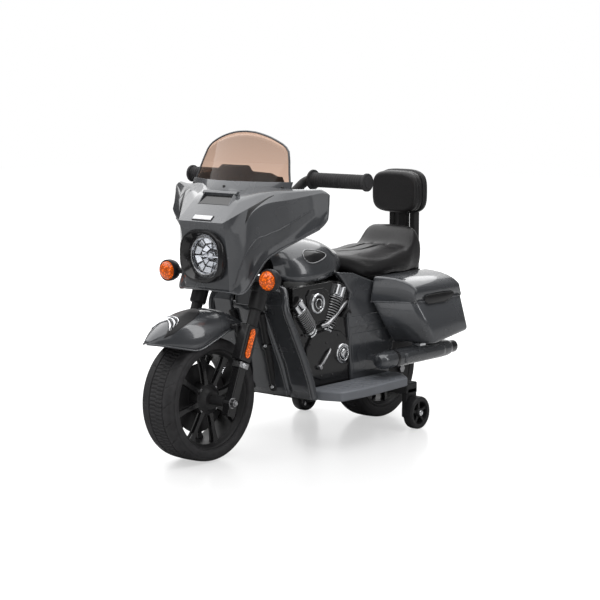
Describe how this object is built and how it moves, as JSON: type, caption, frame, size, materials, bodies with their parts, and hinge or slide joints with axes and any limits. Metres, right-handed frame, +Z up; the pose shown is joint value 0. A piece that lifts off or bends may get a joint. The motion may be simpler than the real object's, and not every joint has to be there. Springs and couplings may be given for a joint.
{
  "type": "kids electric motorbike",
  "caption": "Children's battery ride-on motorbike with a faired front, smoked windshield, turning fork, padded seat and backrest, hinged saddlebags and stabiliser wheels.",
  "frame": {"origin": "bottom centre of the bounding box, on the floor under the middle of the bike", "axes": "+Z up, -Y the way it rides, +X the rider's left"},
  "size_m": [0.542, 0.96, 0.729],
  "materials": {
    "body_grey": "gloss",
    "black_plastic": "satin",
    "gloss_black": "gloss",
    "frame_paint": "satin",
    "steel": "satin",
    "chrome_trim": "polished",
    "tyre_rubber": "matte",
    "grip_rubber": "matte",
    "seat_vinyl": "satin",
    "smoked_screen": "smooth",
    "clear_lens": "smooth",
    "amber_lens": "gloss",
    "red_lens": "gloss",
    "white_lens": "gloss",
    "bush_nylon": "matte",
    "battery_case": "matte"
  },
  "bodies": {
    "chassis": {"main_frame": "frame_paint", "steering_bushes": "bush_nylon", "front_cowl": "body_grey", "leg_shields": "body_grey", "down_tubes": "body_grey", "tank_cover": "body_grey", "engine_covers": "gloss_black", "engine_trim": "chrome_trim", "side_panels": "body_grey", "seat_base": "black_plastic", "seat_cushion": "seat_vinyl", "backrest_bracket": "black_plastic", "backrest_shell": "black_plastic", "backrest_pad": "seat_vinyl", "rear_fender": "body_grey", "tail_lamp": "red_lens", "saddlebags": "body_grey", "bag_hinge_pins": "steel", "exhausts": "black_plastic", "footboards": "body_grey", "stabiliser_brackets": "frame_paint", "battery": "battery_case", "drive_motor": "steel", "gearbox": "black_plastic", "rear_axle": "steel", "charge_socket": "battery_case"},
    "steering": {"steering_stem": "steel", "fork_crown": "gloss_black", "top_clamp": "black_plastic", "fork_legs": "gloss_black", "fork_brackets": "black_plastic", "fork_reflectors": "amber_lens", "front_axle": "steel", "front_fender": "body_grey", "fender_inlay": "gloss_black", "fairing_shell": "body_grey", "dash_panel": "black_plastic", "windshield": "smoked_screen", "windshield_strip": "black_plastic", "headlamp_bezel": "black_plastic", "headlamp_bowl": "chrome_trim", "headlamp_lens": "clear_lens", "running_light": "white_lens", "signal_housings": "black_plastic", "signal_lenses": "amber_lens", "handlebar": "frame_paint", "hand_grips": "grip_rubber"},
    "front_wheel": {"front_tyre": "tyre_rubber", "front_rim": "gloss_black"},
    "rear_wheel": {"rear_tyre": "tyre_rubber", "rear_rim": "gloss_black"},
    "left_stabiliser": {"left_stabiliser_wheel": "gloss_black"},
    "right_stabiliser": {"right_stabiliser_wheel": "gloss_black"},
    "left_lid": {"left_bag_lid": "body_grey"},
    "right_lid": {"right_bag_lid": "body_grey"},
    "pedal": {"foot_pedal": "black_plastic"},
    "start": {"start_button": "red_lens"},
    "horn": {"horn_button": "black_plastic"},
    "direction": {"direction_switch": "black_plastic"}
  },
  "joints": [
    {"name": "steering_turn", "type": "hinge", "parent": "chassis", "child": "steering", "pos_m": [0, -0.3, 0.14], "axis": [0, 0.3673, 0.9301], "range_deg": [-25, 25]},
    {"name": "front_wheel_spin", "type": "hinge", "parent": "steering", "child": "front_wheel", "pos_m": [0, -0.312, 0.14], "axis": [1, 0, 0], "continuous": true},
    {"name": "rear_wheel_spin", "type": "hinge", "parent": "chassis", "child": "rear_wheel", "pos_m": [0, 0.328, 0.13], "axis": [1, 0, 0], "continuous": true},
    {"name": "left_stabiliser_spin", "type": "hinge", "parent": "chassis", "child": "left_stabiliser", "pos_m": [0.1775, 0.268, 0.04], "axis": [1, 0, 0], "continuous": true},
    {"name": "right_stabiliser_spin", "type": "hinge", "parent": "chassis", "child": "right_stabiliser", "pos_m": [-0.1775, 0.268, 0.04], "axis": [1, 0, 0], "continuous": true},
    {"name": "left_lid_hinge", "type": "hinge", "parent": "chassis", "child": "left_lid", "pos_m": [0.161, 0.416, 0.31925], "axis": [-1, 0, 0], "range_deg": [0, 60]},
    {"name": "right_lid_hinge", "type": "hinge", "parent": "chassis", "child": "right_lid", "pos_m": [-0.161, 0.416, 0.31925], "axis": [-1, 0, 0], "range_deg": [0, 60]},
    {"name": "pedal_press", "type": "hinge", "parent": "chassis", "child": "pedal", "pos_m": [-0.158, 0.044, 0.145], "axis": [1, 0, 0], "range_deg": [0, 14], "stiffness_Nm_per_rad": 0.6, "springref_deg": -17.19},
    {"name": "start_press", "type": "slide", "parent": "steering", "child": "start", "axis": [0, 0, -1], "range_m": [0, 0.003], "stiffness_N_per_m": 300, "springref_m": -0.003},
    {"name": "horn_press", "type": "slide", "parent": "steering", "child": "horn", "axis": [0, 0, -1], "range_m": [0, 0.003], "stiffness_N_per_m": 300, "springref_m": -0.003},
    {"name": "direction_rock", "type": "hinge", "parent": "steering", "child": "direction", "pos_m": [0, -0.1993, 0.596], "axis": [1, 0, 0], "range_deg": [-8, 8]}
  ]
}
